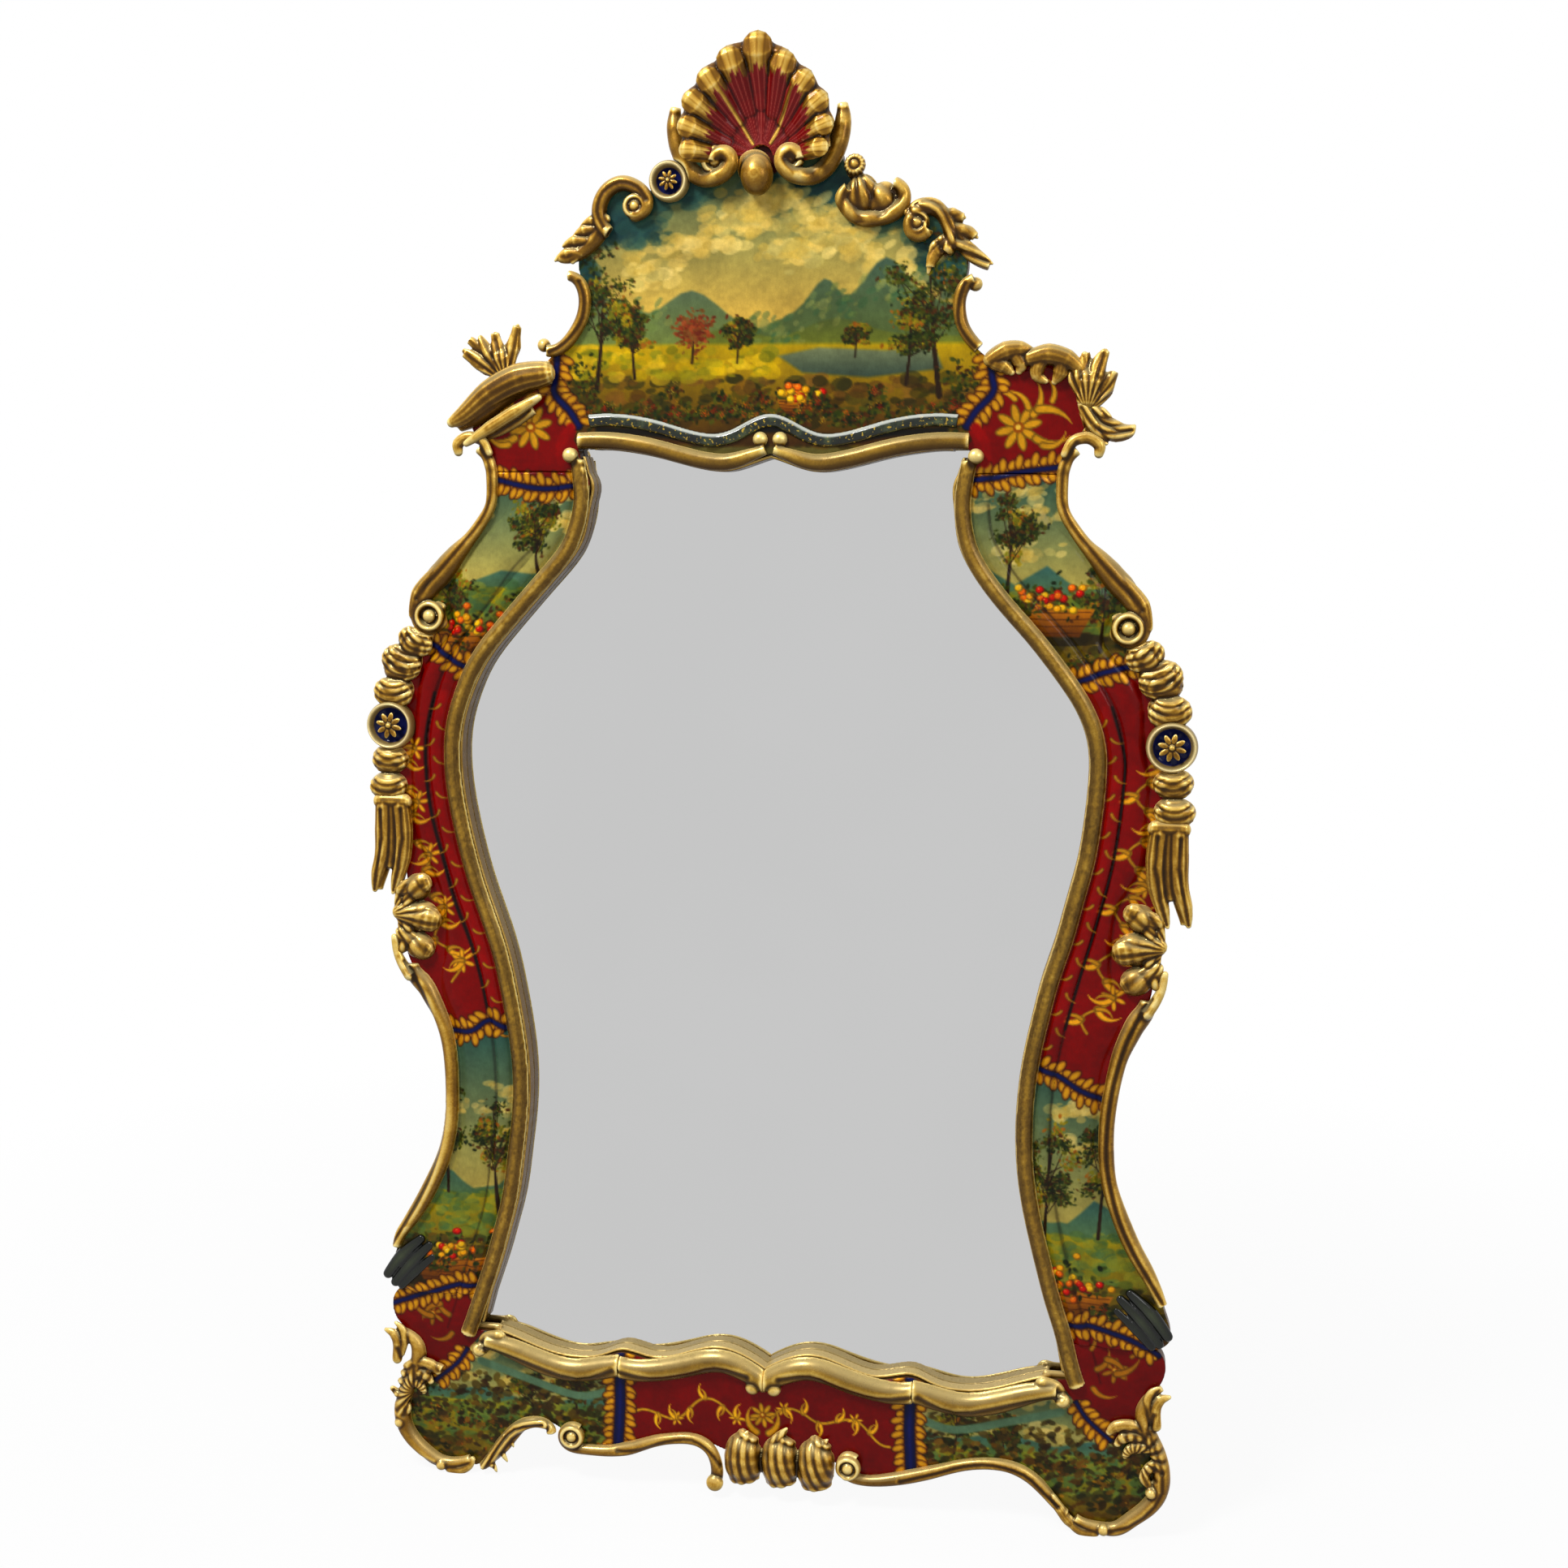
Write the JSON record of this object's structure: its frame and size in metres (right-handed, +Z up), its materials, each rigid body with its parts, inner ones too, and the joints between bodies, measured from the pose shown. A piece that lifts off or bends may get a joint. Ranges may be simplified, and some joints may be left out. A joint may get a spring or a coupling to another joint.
{
  "type": "wall mirror",
  "caption": "Tall shaped wall mirror in a painted and gilt rococo frame with a shell crest, scrolls and roundels; hangs on two rings at the back.",
  "frame": {"origin": "middle of the crest batten's back face, on the wall plane", "axes": "+X to the viewer's right, +Y into the wall, +Z up; the mirror faces -Y"},
  "size_m": [1.0486, 0.0722, 1.8482],
  "materials": {
    "painted_wood": "gloss lacquer with painted ornament",
    "gilding": "worn water gilding",
    "roundel_paint": "gilt rim, blue well, painted flower",
    "shell_paint": "gilt ridges, red lacquer between them",
    "polished_bead": "gloss lacquer",
    "mirror_glass": "silvered glass",
    "bare_wood": "sawn softwood, aged",
    "backboard": "thin board, aged",
    "screw_steel": "dull",
    "hanger_steel": "zinc plated"
  },
  "bodies": {
    "mirror_body": {"backboard": "backboard", "backboard_cleats": "bare_wood", "board_screws": "screw_steel", "bottom_batten": "bare_wood", "bottom_board": "painted_wood", "bottom_edge_left": "gilding", "bottom_edge_right": "gilding", "bottom_rocaille": "gilding", "bottom_sight_moulding_inner_left": "gilding", "bottom_sight_moulding_inner_right": "gilding", "bottom_sight_moulding_outer_left": "gilding", "bottom_sight_moulding_outer_right": "gilding", "bottom_slip": "gilding", "crest_batten": "bare_wood", "crest_bead": "polished_bead", "crest_board": "painted_wood", "crest_edging_left": "gilding", "crest_edging_right": "gilding", "crest_leaf_scroll": "gilding", "crest_rocaille": "gilding", "crest_roundel": "roundel_paint", "crest_scroll_left": "gilding", "joint_plates": "bare_wood", "left_corner_scroll": "gilding", "left_disc_chain": "gilding", "left_drop": "gilding", "left_hanger_strap": "hanger_steel", "left_lower_lip": "gilding", "left_palmette": "gilding", "left_roundel": "roundel_paint", "left_shoulder_roll": "gilding", "left_side_rocaille": "gilding", "left_sight_moulding": "gilding", "left_slip": "gilding", "left_stile": "painted_wood", "left_upper_lip": "gilding", "mirror_glass": "mirror_glass", "right_corner_scroll": "gilding", "right_disc_chain": "gilding", "right_drop": "gilding", "right_hanger_strap": "hanger_steel", "right_lower_lip": "gilding", "right_palmette": "gilding", "right_roundel": "roundel_paint", "right_shoulder_leaves": "gilding", "right_side_rocaille": "gilding", "right_sight_moulding": "gilding", "right_slip": "gilding", "right_stile": "painted_wood", "right_upper_lip": "gilding", "shell": "shell_paint", "shell_ball": "gilding", "shell_scroll_left": "gilding", "shell_scroll_right": "gilding", "small_screws": "screw_steel", "top_sight_moulding_left": "gilding", "top_sight_moulding_right": "gilding", "top_slip": "gilding"},
    "left_ring": {"left_hanging_ring": "hanger_steel"},
    "right_ring": {"right_hanging_ring": "hanger_steel"}
  },
  "joints": [
    {"name": "left_ring_hinge", "type": "hinge", "parent": "mirror_body", "child": "left_ring", "pos_m": [-0.36, -0.0087, -0.224], "axis": [-1, 0, 0], "range_deg": [0, 180]},
    {"name": "right_ring_hinge", "type": "hinge", "parent": "mirror_body", "child": "right_ring", "pos_m": [0.36, -0.0087, -0.224], "axis": [-1, 0, 0], "range_deg": [0, 180]}
  ]
}
